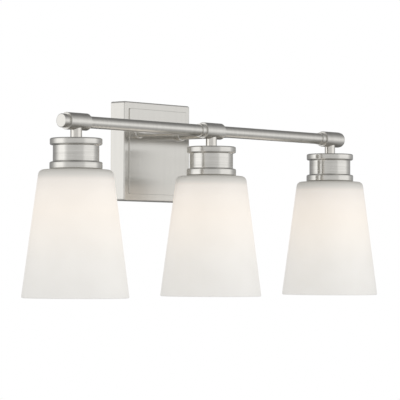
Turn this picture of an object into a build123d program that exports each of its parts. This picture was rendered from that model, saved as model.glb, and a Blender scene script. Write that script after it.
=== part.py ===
import os
from build123d import *

# Three-lamp wall light bar. Sizes in millimetres, +X along the bar, +Y into the wall, +Z up.
# The origin is the middle of the wall plate, on the wall's surface.

# Wall plate, a square pan of pressed sheet, open at the back, with a raised field on its front
plate_side = 123.0
plate_depth = 23.0
plate_sheet = 1.2
plate_corner_round = 2.5
plate_edge_round = 2.0
field_inset = 8.5
field_raise = 1.4
field_corner_round = 1.6
field_edge_round = 0.5

# Mounting strap behind the plate, with a bent tab at each end and slots for a wall box
strap_width = 26.0
strap_sheet = 2.0
strap_bend = 3.0
strap_tab = 14.0
strap_side_gap = 0.3
strap_centre_hole = 10.4
box_screw_spacing = 88.9
box_slot_length = 12.0
box_slot_width = 4.8

# Flush screws through the plate's top and bottom walls into the strap's tabs, and the earth screw
lock_screw_dia = 3.0
lock_head_dia = 5.6
lock_screw_setback = 8.5
lock_screw_point = 1.5
earth_screw_dia = 4.0
earth_head_dia = 8.0
earth_head_height = 3.0
earth_screw_height = 23.0

# Cross bar and its two arms
bar_height = 24.0
bar_standoff = 88.5
bar_dia = 14.0
bar_wall = 1.2
arm_margin = 21.5
arm_dia = 12.7
arm_bore = 8.0
arm_thread_wall = 1.0
arm_thread_length = 9.0
arm_nut_flats = 15.0
arm_nut_height = 5.0
collar_dia = 17.0
collar_length = 5.5
collar_round = 1.4

# Lamps along the bar, with the sleeves that carry them and the caps on the bar's ends
lamp_pitch = 240.0
sleeve_wall = 3.0
sleeve_length = 33.6
sleeve_chamfer = 0.4
neck_wall = 1.0
neck_length = 7.1
left_cap_end = 1.3
right_cap_end = 3.8
right_cap_inset = 0.6
cap_round = 1.0
cap_plug = 5.0

# Stem, hollow threaded nipple and shade cup under each sleeve
cup_drop = 19.3
stem_wall = 1.9
nipple_dia = 9.6
nipple_bore = 6.4
nipple_in_bar = 1.4
nipple_in_holder = 7.0
cup_flange_dia = 60.5
cup_flange_height = 8.0
cup_body_dia = 53.4
cup_body_height = 19.2
cup_ring_dia = 61.0
cup_ring_height = 9.0
cup_edge_round = 1.8
cup_groove_round = 1.2
cup_wall = 2.4
cup_top = 3.0
cup_nut_flats = 15.0
cup_nut_height = 4.0

# Lamp holder with its screw shell, middle contact and shade ring
holder_wall = 2.6
holder_web = 4.0
holder_thread_step = 2.0
holder_thread_length = 20.0
holder_pocket_dia = 8.0
holder_pocket_depth = 13.0
shell_wall = 0.7
shell_gap = 0.6
shell_depth = 27.0
shell_flange_bore = 16.0
shell_recess = 1.0
contact_dia = 6.4
contact_height = 3.5
shade_ring_dia = 54.0
shade_ring_height = 7.0
shade_ring_chamfer = 1.0
ring_notches = 12
ring_notch_dia = 5.0

# Glass shade, a tapered bell open at the bottom
shade_height = 147.4
shade_mouth_dia = 124.4
shade_shoulder_dia = 85.4
shade_round = 6.5
shade_wall = 3.0
shade_hole_gap = 1.5
shade_lip_round = 1.2

# Screw-in bulb
bulb_seat_gap = 0.1
bulb_tip_dia = 9.2
bulb_tip_height = 1.6
bulb_insulator_dia = 21.0
bulb_insulator_height = 3.2
bulb_cap_dia = 26.2
bulb_cap_length = 20.0
bulb_neck_dia = 25.4
bulb_neck_length = 8.0
bulb_globe_dia = 60.0
bulb_globe_drop = 46.0
bulb_glass_wall = 0.9

# Twin lead inside each lamp's nipple, the bar and one arm
lead_dia = 2.6
lead_offset = 1.8
lead_bend = 4.0
lead_end = 6.0

# Radial room of a sliding seat or a thread
seat_gap = 0.05

# Places that follow from the sizes above
plate_inside = plate_side - 2 * plate_sheet
field_side = plate_side - 2 * field_inset
field_front = plate_depth + field_raise
field_back = field_front - plate_sheet
strap_length = plate_inside - 2 * strap_side_gap
bar_reach = plate_depth + bar_standoff
arm_spread = plate_side / 2 - arm_margin
arm_thread_dia = arm_bore + 2 * arm_thread_wall
sleeve_dia = bar_dia + 2 * sleeve_wall
neck_dia = bar_dia + 2 * neck_wall
right_cap_dia = sleeve_dia - 2 * right_cap_inset
plug_dia = bar_dia - 2 * bar_wall - 2 * seat_gap
stem_dia = nipple_dia + 2 * stem_wall
bar_left = lamp_pitch + sleeve_length / 2 + neck_length
bar_right = lamp_pitch + sleeve_length / 2
cup_height = cup_flange_height + cup_body_height + cup_ring_height
nut_top = cup_drop + cup_top
shell_dia = bulb_cap_dia + 2 * (shell_gap + shell_wall)
holder_dia = shell_dia + 2 * holder_wall
holder_thread_dia = holder_dia + 2 * holder_thread_step
holder_height = holder_pocket_depth + holder_web + shell_depth
holder_top = nut_top + cup_nut_height
holder_floor = holder_top + holder_height - shell_depth
holder_mouth = holder_top + holder_height
shade_top = cup_drop + cup_height
shade_hole_dia = holder_thread_dia + 2 * shade_hole_gap
bulb_top = holder_floor + contact_height + bulb_seat_gap
bulb_shell_top = bulb_top + bulb_tip_height + bulb_insulator_height
bulb_neck_top = bulb_shell_top + bulb_cap_length
bulb_globe_centre = bulb_neck_top + bulb_neck_length + bulb_globe_drop

os.makedirs("parts", exist_ok=True)


def save(piece, name):
    # Label one finished piece and write it as its own file.
    piece.part.label = name
    export_step(piece.part, f"parts/{name}.step")


# Wall plate: rounded pan, raised field, hollow back, arm holes and flush screw seats
with BuildPart() as wall_plate:
    with BuildSketch(Plane.XZ):
        RectangleRounded(plate_side, plate_side, plate_corner_round)
    extrude(amount=plate_depth)
    fillet(wall_plate.faces().sort_by(Axis.Y)[0].edges(), plate_edge_round)
    with BuildSketch(Plane.XZ.offset(plate_depth)):
        RectangleRounded(field_side, field_side, field_corner_round)
    extrude(amount=field_raise)
    fillet(wall_plate.faces().sort_by(Axis.Y)[0].edges(), field_edge_round)
    with BuildSketch(Plane.XZ):
        Rectangle(plate_inside, plate_inside)
    extrude(amount=plate_depth - plate_sheet, mode=Mode.SUBTRACT)
    with BuildSketch(Plane.XZ):
        Rectangle(field_side - 2 * plate_sheet, field_side - 2 * plate_sheet)
    extrude(amount=field_back, mode=Mode.SUBTRACT)
    with BuildSketch(Plane.XZ):
        with Locations((-arm_spread, bar_height), (arm_spread, bar_height)):
            Circle(arm_thread_dia / 2 + seat_gap)
    extrude(amount=field_front, mode=Mode.SUBTRACT)
    for way in (1, -1):
        seat = Plane((0, -lock_screw_setback, way * plate_side / 2), x_dir=(1, 0, 0), z_dir=(0, 0, -way))
        with BuildSketch(seat):
            Circle(lock_head_dia / 2 + seat_gap)
        with BuildSketch(seat.offset(plate_sheet)):
            Circle(lock_screw_dia / 2 + seat_gap)
        loft(mode=Mode.SUBTRACT)
save(wall_plate, "wall_plate")

# Mounting strap: a flat bar bent forward at both ends, with wall-box slots and a middle hole
with BuildPart() as mounting_strap:
    with BuildSketch(Plane.YZ):
        with Locations((-strap_tab / 2, 0)):
            Rectangle(strap_tab, strap_length)
        with Locations((-(strap_tab + strap_sheet) / 2, 0)):
            Rectangle(strap_tab - strap_sheet, strap_length - 2 * strap_sheet, mode=Mode.SUBTRACT)
    extrude(amount=strap_width / 2, both=True)
    fillet(mounting_strap.edges().filter_by(Axis.X).group_by(Axis.Y)[-1], strap_bend)
    inner_bends = mounting_strap.edges().filter_by(Axis.X).filter_by_position(
        Axis.Y, -strap_sheet - 0.01, -strap_sheet + 0.01
    )
    fillet(inner_bends, strap_bend - strap_sheet)
    with BuildSketch(Plane.XZ):
        Circle(strap_centre_hole / 2)
        with Locations((0, -box_screw_spacing / 2), (0, box_screw_spacing / 2)):
            SlotOverall(box_slot_length, box_slot_width, rotation=90)
        with Locations((0, earth_screw_height)):
            Circle(earth_screw_dia / 2 + seat_gap)
    extrude(amount=strap_sheet, mode=Mode.SUBTRACT)
    with BuildSketch(Plane.XY.offset(-strap_length / 2)):
        with Locations((0, -lock_screw_setback)):
            Circle(lock_screw_dia / 2 + seat_gap)
    extrude(amount=strap_length, mode=Mode.SUBTRACT)
save(mounting_strap, "mounting_strap")

# Earth screw in the strap, with its head towards the plate's hollow
with BuildPart() as earth_screw:
    with BuildSketch(Plane.XZ):
        with Locations((0, earth_screw_height)):
            Circle(earth_screw_dia / 2)
    extrude(amount=strap_sheet)
    with BuildSketch(Plane.XZ.offset(strap_sheet)):
        with Locations((0, earth_screw_height)):
            RegularPolygon(earth_head_dia / 2, 6)
    extrude(amount=earth_head_height)
save(earth_screw, "earth_screw")

# Two flush screws that hold the plate to the strap's tabs
with BuildPart() as plate_lock_screws:
    for way in (1, -1):
        top = Plane((0, -lock_screw_setback, way * plate_side / 2), x_dir=(1, 0, 0), z_dir=(0, 0, -way))
        with BuildSketch(top):
            Circle(lock_head_dia / 2)
        with BuildSketch(top.offset(plate_sheet)):
            Circle(lock_screw_dia / 2)
        loft()
        with BuildSketch(top.offset(plate_sheet)):
            Circle(lock_screw_dia / 2)
        extrude(amount=strap_side_gap + strap_sheet + lock_screw_point)
save(plate_lock_screws, "plate_lock_screws")

# Cross bar: one hollow tube, pierced below for the lamps' nipples and behind for the arms
with BuildPart() as cross_bar:
    with BuildSketch(Plane.YZ.offset(-bar_left)):
        with Locations((-bar_reach, bar_height)):
            Circle(bar_dia / 2)
            Circle(bar_dia / 2 - bar_wall, mode=Mode.SUBTRACT)
    extrude(amount=bar_left + bar_right)
    with BuildSketch(Plane.XY.offset(bar_height)):
        with Locations((-lamp_pitch, -bar_reach), (0, -bar_reach), (lamp_pitch, -bar_reach)):
            Circle(nipple_dia / 2 + seat_gap)
    extrude(amount=-bar_dia, mode=Mode.SUBTRACT)
    with BuildSketch(Plane.XZ.offset(bar_reach)):
        with Locations((-arm_spread, bar_height), (arm_spread, bar_height)):
            Circle(arm_bore / 2)
    extrude(amount=-bar_dia, mode=Mode.SUBTRACT)
save(cross_bar, "cross_bar")

# Each side: arm from plate to bar, its collar on the field, its nut behind the field, and the bar's cap
for side, way in (("left", -1), ("right", 1)):
    root = Plane((way * arm_spread, 0, bar_height), x_dir=(1, 0, 0), z_dir=(0, -1, 0))

    with BuildPart() as arm:
        with BuildSketch(root.offset(field_front)):
            Circle(arm_dia / 2)
        extrude(amount=bar_reach - field_front)
        with BuildSketch(root.offset(field_front - arm_thread_length)):
            Circle(arm_thread_dia / 2)
        extrude(amount=arm_thread_length)
        with BuildSketch(root.offset(field_front - arm_thread_length)):
            Circle(arm_bore / 2)
        extrude(amount=bar_reach, mode=Mode.SUBTRACT)
        with BuildSketch(Plane.YZ.offset(way * arm_spread)):
            with Locations((-bar_reach, bar_height)):
                Circle(bar_dia / 2)
        extrude(amount=arm_dia, both=True, mode=Mode.SUBTRACT)
    save(arm, f"arm_{side}")

    with BuildPart() as collar:
        with BuildSketch(root.offset(field_front)):
            Circle(collar_dia / 2)
            Circle(arm_dia / 2 + seat_gap, mode=Mode.SUBTRACT)
        extrude(amount=collar_length)
        fillet(collar.edges().filter_by(GeomType.CIRCLE).group_by(Axis.Y)[0].sort_by(SortBy.RADIUS)[-1], collar_round)
    save(collar, f"arm_collar_{side}")

    with BuildPart() as arm_nut:
        with BuildSketch(root.offset(field_back - arm_nut_height)):
            RegularPolygon(arm_nut_flats / 2, 6, major_radius=False)
            Circle(arm_thread_dia / 2 + seat_gap, mode=Mode.SUBTRACT)
        extrude(amount=arm_nut_height)
    save(arm_nut, f"arm_nut_{side}")

    # The cap's disc closes the neck on the left and the sleeve on the right, and its plug fills the bar's bore
    if way < 0:
        bar_end, cap_dia, cap_end = bar_left, neck_dia, left_cap_end
    else:
        bar_end, cap_dia, cap_end = bar_right, right_cap_dia, right_cap_end
    outward = Plane((way * bar_end, -bar_reach, bar_height), x_dir=(0, 0, 1), z_dir=(way, 0, 0))
    with BuildPart() as bar_cap:
        with BuildSketch(outward):
            Circle(cap_dia / 2)
        extrude(amount=cap_end)
        fillet(bar_cap.faces().sort_by(Axis.X)[0 if way < 0 else -1].edges(), cap_round)
        with BuildSketch(outward):
            Circle(plug_dia / 2)
        extrude(amount=-cap_plug)
    save(bar_cap, f"bar_cap_{side}")

# Each lamp, from the sleeve on the bar down to the bulb. Depths are measured down from the bar's axis.
for lamp, lamp_x in (("left", -lamp_pitch), ("middle", 0.0), ("right", lamp_pitch)):
    middle = (lamp_x, -bar_reach, bar_height)
    down = Plane(middle, x_dir=(1, 0, 0), z_dir=(0, 0, -1))
    section = Plane(middle, x_dir=(1, 0, 0), z_dir=(0, -1, 0))
    lamp_axis = Axis(middle, (0, 0, 1))
    across = Plane(middle, x_dir=(0, 1, 0), z_dir=(1, 0, 0))

    # Sleeve with a narrower neck on its left, pierced below
    with BuildPart() as sleeve:
        with BuildSketch(across):
            Circle(sleeve_dia / 2)
        extrude(amount=sleeve_length / 2, both=True)
        chamfer(sleeve.edges().filter_by(GeomType.CIRCLE), sleeve_chamfer)
        with BuildSketch(across.offset(-sleeve_length / 2)):
            Circle(neck_dia / 2)
        extrude(amount=-neck_length)
        with BuildSketch(across.offset(sleeve_length / 2)):
            Circle(bar_dia / 2 + seat_gap)
        extrude(amount=-sleeve_length - neck_length, mode=Mode.SUBTRACT)
        with BuildSketch(down):
            Circle(nipple_dia / 2 + seat_gap)
        extrude(amount=sleeve_dia, mode=Mode.SUBTRACT)
    save(sleeve, f"sleeve_{lamp}")

    # Stem, a short tube whose top is cut to straddle the sleeve
    with BuildPart() as stem:
        with BuildSketch(down):
            Circle(stem_dia / 2)
            Circle(nipple_dia / 2 + seat_gap, mode=Mode.SUBTRACT)
        extrude(amount=cup_drop)
        with BuildSketch(across):
            Circle(sleeve_dia / 2)
        extrude(amount=stem_dia, both=True, mode=Mode.SUBTRACT)
    save(stem, f"stem_{lamp}")

    # Threaded nipple that ties bar, sleeve, stem, cup and lamp holder together and carries the lead
    with BuildPart() as nipple:
        nipple_start = bar_dia / 2 - bar_wall - nipple_in_bar
        with BuildSketch(down.offset(nipple_start)):
            Circle(nipple_dia / 2)
            Circle(nipple_bore / 2, mode=Mode.SUBTRACT)
        extrude(amount=holder_top + nipple_in_holder - nipple_start)
    save(nipple, f"nipple_{lamp}")

    # Shade cup: flange, narrower body and lower ring, hollow from below
    with BuildPart() as cup:
        with BuildSketch(section):
            with Locations((0, -cup_drop)):
                Rectangle(cup_body_dia / 2, cup_height, align=(Align.MIN, Align.MAX))
                Rectangle(cup_flange_dia / 2, cup_flange_height, align=(Align.MIN, Align.MAX))
            with Locations((0, -shade_top)):
                Rectangle(cup_ring_dia / 2, cup_ring_height, align=(Align.MIN, Align.MIN))
        revolve(axis=lamp_axis)
        rims = cup.edges().filter_by(GeomType.CIRCLE).filter_by(lambda e: e.radius > cup_body_dia / 2 + 0.01)
        fillet(rims, cup_edge_round)
        corners = cup.edges().filter_by(GeomType.CIRCLE).filter_by(
            lambda e: abs(e.radius - cup_body_dia / 2) < 0.01
        )
        fillet(corners, cup_groove_round)
        with BuildSketch(down.offset(nut_top)):
            Circle(cup_body_dia / 2 - cup_wall)
        extrude(amount=cup_height - cup_top, mode=Mode.SUBTRACT)
        with BuildSketch(down.offset(cup_drop)):
            Circle(nipple_dia / 2 + seat_gap)
        extrude(amount=cup_top, mode=Mode.SUBTRACT)
    save(cup, f"cup_{lamp}")

    # Nut that draws the cup up against the stem
    with BuildPart() as cup_nut:
        with BuildSketch(down.offset(nut_top)):
            RegularPolygon(cup_nut_flats / 2, 6, major_radius=False)
            Circle(nipple_dia / 2 + seat_gap, mode=Mode.SUBTRACT)
        extrude(amount=cup_nut_height)
    save(cup_nut, f"cup_nut_{lamp}")

    # Lamp holder: insulating body with a wider threaded skirt, a terminal pocket above and a well below
    with BuildPart() as holder:
        with BuildSketch(down.offset(holder_top)):
            Circle(holder_dia / 2)
        extrude(amount=holder_height)
        with BuildSketch(down.offset(holder_mouth - holder_thread_length)):
            Circle(holder_thread_dia / 2)
        extrude(amount=holder_thread_length)
        with BuildSketch(down.offset(holder_top)):
            Circle(nipple_dia / 2 + seat_gap)
        extrude(amount=nipple_in_holder, mode=Mode.SUBTRACT)
        with BuildSketch(down.offset(holder_top)):
            Circle(holder_pocket_dia / 2)
        extrude(amount=holder_pocket_depth, mode=Mode.SUBTRACT)
        with BuildSketch(down.offset(holder_floor)):
            Circle(shell_dia / 2 + seat_gap)
        extrude(amount=shell_depth, mode=Mode.SUBTRACT)
    save(holder, f"holder_{lamp}")

    # Screw shell lining the holder's well, with an inward flange at the top
    with BuildPart() as screw_shell:
        with BuildSketch(down.offset(holder_floor)):
            Circle(shell_dia / 2)
        extrude(amount=shell_depth - shell_recess)
        with BuildSketch(down.offset(holder_floor + shell_wall)):
            Circle(shell_dia / 2 - shell_wall)
        extrude(amount=shell_depth, mode=Mode.SUBTRACT)
        with BuildSketch(down.offset(holder_floor)):
            Circle(shell_flange_bore / 2)
        extrude(amount=shell_depth, mode=Mode.SUBTRACT)
    save(screw_shell, f"screw_shell_{lamp}")

    # Middle contact on the well's floor
    with BuildPart() as contact:
        with BuildSketch(down.offset(holder_floor)):
            Circle(contact_dia / 2)
        extrude(amount=contact_height)
        fillet(contact.faces().sort_by(Axis.Z)[0].edges(), contact_height / 4)
    save(contact, f"contact_{lamp}")

    # Shade ring, screwed onto the holder's skirt to clamp the glass, with finger notches
    with BuildPart() as shade_ring:
        with BuildSketch(down.offset(shade_top + shade_wall)):
            Circle(shade_ring_dia / 2)
        extrude(amount=shade_ring_height)
        chamfer(shade_ring.faces().sort_by(Axis.Z)[0].edges(), shade_ring_chamfer)
        with BuildSketch(down.offset(shade_top + shade_wall)):
            Circle(holder_thread_dia / 2 + seat_gap)
            with PolarLocations(shade_ring_dia / 2, ring_notches):
                Circle(ring_notch_dia / 2)
        extrude(amount=shade_ring_height, mode=Mode.SUBTRACT)
    save(shade_ring, f"shade_ring_{lamp}")

    # Glass shade: flat top, rounded shoulder, straight taper, open mouth
    with BuildPart() as shade:
        with BuildSketch(section):
            with BuildLine():
                Polyline(
                    (0, -shade_top),
                    (shade_shoulder_dia / 2, -shade_top),
                    (shade_mouth_dia / 2, -shade_top - shade_height),
                    (0, -shade_top - shade_height),
                    close=True,
                )
            make_face()
        revolve(axis=lamp_axis)
        fillet(shade.edges().group_by(Axis.Z)[-1], shade_round)
        offset(amount=-shade_wall, openings=shade.faces().sort_by(Axis.Z)[0])
        with BuildSketch(down.offset(shade_top)):
            Circle(shade_hole_dia / 2)
        extrude(amount=shade_wall, mode=Mode.SUBTRACT)
        fillet(shade.edges().group_by(Axis.Z)[0], shade_lip_round)
    save(shade, f"shade_{lamp}")

    # Bulb cap: screw shell, insulating cone and tip
    with BuildPart() as bulb_cap:
        with BuildSketch(down.offset(bulb_shell_top)):
            Circle(bulb_cap_dia / 2)
        extrude(amount=bulb_cap_length)
        with BuildSketch(down.offset(bulb_top + bulb_tip_height)):
            Circle(bulb_tip_dia / 2)
        with BuildSketch(down.offset(bulb_shell_top)):
            Circle(bulb_insulator_dia / 2)
        loft()
        with BuildSketch(down.offset(bulb_top)):
            Circle(bulb_tip_dia / 2)
        extrude(amount=bulb_tip_height)
        fillet(bulb_cap.faces().sort_by(Axis.Z)[-1].edges(), bulb_tip_height / 2)
    save(bulb_cap, f"bulb_cap_{lamp}")

    # Bulb glass: straight neck, hollow flare and round globe, as a thin wall open at the neck
    neck_r = bulb_neck_dia / 2
    globe_r = bulb_globe_dia / 2
    flare_r = (neck_r**2 + bulb_globe_drop**2 - globe_r**2) / (2 * (globe_r - neck_r))
    globe = Vector(0, -bulb_globe_centre)
    flare = Vector(neck_r + flare_r, -bulb_globe_centre + bulb_globe_drop)
    lean = (flare - globe).normalized()
    flare_mid = (Vector(-1, 0) - lean).normalized()
    globe_mid = (lean + Vector(0, -1)).normalized()
    with BuildPart() as bulb_glass:
        with BuildSketch(section):
            with BuildLine():
                top_in = Vector(neck_r - bulb_glass_wall, -bulb_neck_top)
                top_out = Vector(neck_r, -bulb_neck_top)
                neck_out = Vector(neck_r, flare.Y)
                neck_in = Vector(neck_r - bulb_glass_wall, flare.Y)
                globe_in = globe_r - bulb_glass_wall
                flare_in = flare_r + bulb_glass_wall
                Line(top_in, top_out)
                Line(top_out, neck_out)
                ThreePointArc(neck_out, flare + flare_mid * flare_r, globe + lean * globe_r)
                ThreePointArc(globe + lean * globe_r, globe + globe_mid * globe_r, globe + Vector(0, -globe_r))
                Line(globe + Vector(0, -globe_r), globe + Vector(0, -globe_in))
                ThreePointArc(globe + Vector(0, -globe_in), globe + globe_mid * globe_in, globe + lean * globe_in)
                ThreePointArc(globe + lean * globe_in, flare + flare_mid * flare_in, neck_in)
                Line(neck_in, top_in)
            make_face()
        revolve(axis=lamp_axis)
    save(bulb_glass, f"bulb_glass_{lamp}")

    # Twin lead from the holder's terminals, up the nipple, along the bar and through an arm into the plate
    side_way = 1 if lamp == "right" else -1
    level = bar_height - lead_offset if lamp == "middle" else bar_height + lead_offset
    lead_start = (lamp_x, -bar_reach, bar_height - holder_top - holder_pocket_depth)
    with BuildPart() as lead_wire:
        with BuildLine():
            FilletPolyline(
                lead_start,
                (lamp_x, -bar_reach, level),
                (side_way * arm_spread, -bar_reach, level),
                (side_way * arm_spread, -lead_end, level),
                radius=lead_bend,
            )
        with BuildSketch(Plane(lead_start, x_dir=(1, 0, 0), z_dir=(0, 0, 1))):
            Circle(lead_dia / 2)
        sweep()
    save(lead_wire, f"lead_wire_{lamp}")
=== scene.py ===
import math

import bmesh
import bpy
from mathutils import Matrix, Vector


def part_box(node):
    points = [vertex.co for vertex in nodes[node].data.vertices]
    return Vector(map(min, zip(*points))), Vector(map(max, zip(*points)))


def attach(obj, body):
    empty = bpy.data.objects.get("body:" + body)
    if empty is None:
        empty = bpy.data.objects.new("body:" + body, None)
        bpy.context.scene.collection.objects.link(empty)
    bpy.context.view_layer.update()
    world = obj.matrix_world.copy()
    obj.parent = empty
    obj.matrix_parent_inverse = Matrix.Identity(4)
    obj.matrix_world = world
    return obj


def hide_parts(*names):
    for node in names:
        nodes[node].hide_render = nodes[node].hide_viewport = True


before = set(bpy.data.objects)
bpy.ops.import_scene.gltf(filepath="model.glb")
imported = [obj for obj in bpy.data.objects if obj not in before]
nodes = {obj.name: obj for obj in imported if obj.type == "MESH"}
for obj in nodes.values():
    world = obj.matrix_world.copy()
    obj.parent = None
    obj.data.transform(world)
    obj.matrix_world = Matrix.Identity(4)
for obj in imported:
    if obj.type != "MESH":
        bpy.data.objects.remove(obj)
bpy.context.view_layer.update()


# Mounting strap: a flat bar of mild steel, punched and bent, that screws to the wall box.
# It has a bright zinc plate, which gives a cool shine with soft cloudy patches.
def linear(hex_colour):
    """sRGB hex to the linear colour that the shader sockets take."""
    parts = [int(hex_colour[i:i + 2], 16) / 255 for i in (1, 3, 5)]
    return [p / 12.92 if p <= 0.04045 else ((p + 0.055) / 1.055) ** 2.4 for p in parts] + [1.0]


def add_node(tree, kind, settings=None, links=None):
    """One node with its settings; links maps an input to a value or to another node's output.
    The setting "stops" fills a colour ramp with pairs of a place and a linear colour."""
    node = tree.nodes.new(kind)
    for name, value in (settings or {}).items():
        if name != "stops":
            setattr(node, name, value)
            continue
        ramp = node.color_ramp.elements
        while len(ramp) < len(value):
            ramp.new(1.0)
        for stop, (place, colour) in zip(ramp, value):
            stop.position = place
            stop.color = colour
    for name, value in (links or {}).items():
        if isinstance(value, bpy.types.NodeSocket):
            tree.links.new(value, node.inputs[name])
        else:
            node.inputs[name].default_value = value
    return node


def new_material(name):
    """A node material that holds only its output node."""
    material = bpy.data.materials.new(name)
    material.use_nodes = True
    material.node_tree.nodes.clear()
    return material, material.node_tree, material.node_tree.nodes.new("ShaderNodeOutputMaterial")


# Noise stays mostly between these two values, so tones and gloss are spread over that range
patch_low = 0.3
patch_high = 0.7


def clouded_metal(name, dark_hex, light_hex, roughness, spread, cloud_mm):
    """A metal whose colour and gloss drift in cloudy patches of a real width."""
    material, tree, output = new_material(name)
    place = add_node(tree, "ShaderNodeTexCoord").outputs["Object"]
    cloud = add_node(tree, "ShaderNodeTexNoise", None, {
        "Vector": place, "Scale": 1000 / cloud_mm, "Detail": 4.0}).outputs["Fac"]
    rough = add_node(tree, "ShaderNodeMapRange", None, {
        "Value": cloud, "From Min": patch_low, "From Max": patch_high,
        "To Min": roughness + spread, "To Max": roughness - spread}).outputs[0]
    tone = add_node(tree, "ShaderNodeValToRGB", {
        "stops": [(patch_low, linear(dark_hex)), (patch_high, linear(light_hex))]}, {
        "Fac": cloud}).outputs["Color"]
    metal = add_node(tree, "ShaderNodeBsdfPrincipled", None, {
        "Base Color": tone, "Metallic": 1.0, "Roughness": rough})
    tree.links.new(metal.outputs[0], output.inputs["Surface"])
    return material


def dress(names, material):
    """Gives CAD nodes their finished material."""
    for name in names:
        slots = nodes[name].data.materials
        slots.clear()
        slots.append(material)


zinc_steel = clouded_metal(
    "zinc_plated_steel", "#A6AAAD", "#C6C8C7", roughness=0.36, spread=0.09, cloud_mm=4.0)
dress(["mounting_strap"], zinc_steel)


# Earth screw: a hexagon-headed steel screw with a fixed washer and a driver slot, in the strap's small
# hole. It is dyed green over its zinc, so that the fitter finds it.
def mesh_piece(name, mesh, *materials):
    """A piece at the origin with its place in its mesh, smooth but for edges over 32 degrees."""
    mesh.polygons.foreach_set("use_smooth", [True] * len(mesh.polygons))
    mesh.set_sharp_from_angle(angle=math.radians(32))
    for material in materials:
        mesh.materials.append(material)
    piece = bpy.data.objects.new(name, mesh)
    bpy.context.scene.collection.objects.link(piece)
    return piece


def belongs(piece, body, slot, *replaced):
    """Puts a piece on its body and hides the CAD nodes that it stands for; slot is not used."""
    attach(piece, body)
    if replaced:
        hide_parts(*replaced)


def middle_of(node):
    """The middle of a CAD node's box."""
    low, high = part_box(node)
    return [(a + b) / 2 for a, b in zip(low, high)]


earth_low, earth_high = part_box("earth_screw")
earth_x = middle_of("earth_screw")[0]
earth_z = middle_of("earth_screw")[2]
strap_sheet = 0.0020
earth_shank_radius = 0.0020
washer_radius = 0.00396
washer_height = 0.0008
hexagon_radius = 0.00376
head_top_radius = 0.0032
head_chamfer = 0.0005
driver_slot = (0.0011, 0.0024, 0.012)
earth_points = 48
washer_front = -strap_sheet - washer_height
# Radius, depth and whether the outline is a hexagon, from the screw's end to its head
earth_outline = [
    (earth_shank_radius, earth_high[1], False), (earth_shank_radius, -strap_sheet, False),
    (washer_radius, -strap_sheet, False), (washer_radius, washer_front, False),
    (hexagon_radius, washer_front, True), (hexagon_radius, earth_low[1] + head_chamfer, True),
    (head_top_radius, earth_low[1], False)]
shape = bmesh.new()
rings = []
for radius, y, hexagon in earth_outline:
    ring = []
    for i in range(earth_points):
        angle = 2 * math.pi * i / earth_points
        reach = radius
        if hexagon:
            reach = radius * math.cos(math.pi / 6) / math.cos((angle % (math.pi / 3)) - math.pi / 6)
        corner = (earth_x + reach * math.cos(angle), y, earth_z + reach * math.sin(angle))
        ring.append(shape.verts.new(corner))
    rings.append(ring)
for lower, upper in zip(rings, rings[1:]):
    for i in range(earth_points):
        k = (i + 1) % earth_points
        shape.faces.new((lower[i], lower[k], upper[k], upper[i]))
shape.faces.new(rings[0])
shape.faces.new(rings[-1])
bmesh.ops.recalc_face_normals(shape, faces=shape.faces)
earth_mesh = bpy.data.meshes.new("earth_screw_slotted")
shape.to_mesh(earth_mesh)
shape.free()


def cut_box(mesh, middle, size):
    """Takes a box out of a closed mesh."""
    body = bpy.data.objects.new("cut_body", mesh)
    cutter_mesh = bpy.data.meshes.new("cutter")
    tool = bmesh.new()
    made = bmesh.ops.create_cube(tool, size=1.0)["verts"]
    bmesh.ops.scale(tool, vec=size, verts=made)
    bmesh.ops.translate(tool, vec=middle, verts=made)
    tool.to_mesh(cutter_mesh)
    tool.free()
    cutter = bpy.data.objects.new("cutter", cutter_mesh)
    bpy.context.scene.collection.objects.link(body)
    bpy.context.scene.collection.objects.link(cutter)
    cut = body.modifiers.new("cut", "BOOLEAN")
    cut.operation = "DIFFERENCE"
    cut.solver = "EXACT"
    cut.use_self = True
    cut.object = cutter
    done = bpy.data.meshes.new_from_object(body.evaluated_get(bpy.context.evaluated_depsgraph_get()))
    done.name = mesh.name
    bpy.data.objects.remove(body)
    bpy.data.objects.remove(cutter)
    bpy.data.meshes.remove(mesh)
    return done


earth_mesh = cut_box(earth_mesh, (earth_x, earth_low[1], earth_z), driver_slot)
green_zinc = clouded_metal(
    "green_dyed_zinc", "#2F6B3C", "#4F8F5A", roughness=0.36, spread=0.06, cloud_mm=1.5)
earth_screw = mesh_piece("earth_screw_slotted", earth_mesh, green_zinc)
belongs(earth_screw, "fixture", "green_screw", "earth_screw")


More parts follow.
